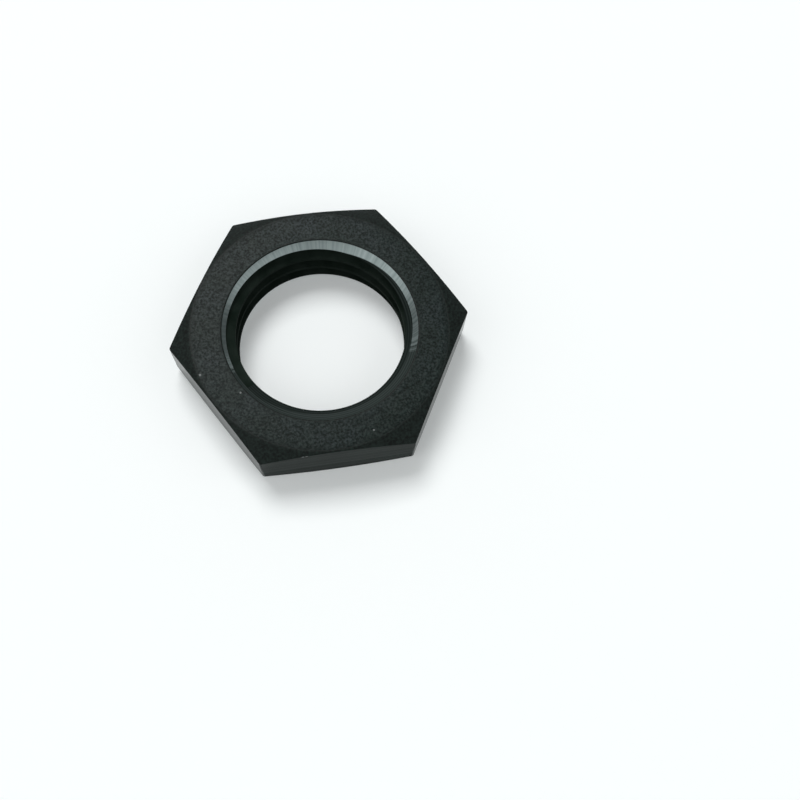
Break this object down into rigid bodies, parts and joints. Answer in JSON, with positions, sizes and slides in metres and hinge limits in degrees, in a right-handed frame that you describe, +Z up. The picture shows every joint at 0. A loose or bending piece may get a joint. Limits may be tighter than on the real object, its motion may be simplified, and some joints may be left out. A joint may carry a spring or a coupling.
{
  "type": "ring nut",
  "caption": "Thin hexagon ring nut with a large threaded bore, both faces countersunk and all corners chamfered.",
  "frame": {"origin": "centre of the bottom face, on the bore's axis", "axes": "+Z up along the bore, from the bottom face to the top face; +X through a corner of the hexagon; +Y square to a pair of flats"},
  "size_m": [0.0254, 0.022, 0.005],
  "materials": {
    "blackened_steel": "steel with a thin matt black coating, and a smoother, paler turned countersink"
  },
  "bodies": {
    "root": {"ring_nut": "blackened_steel"}
  },
  "joints": []
}
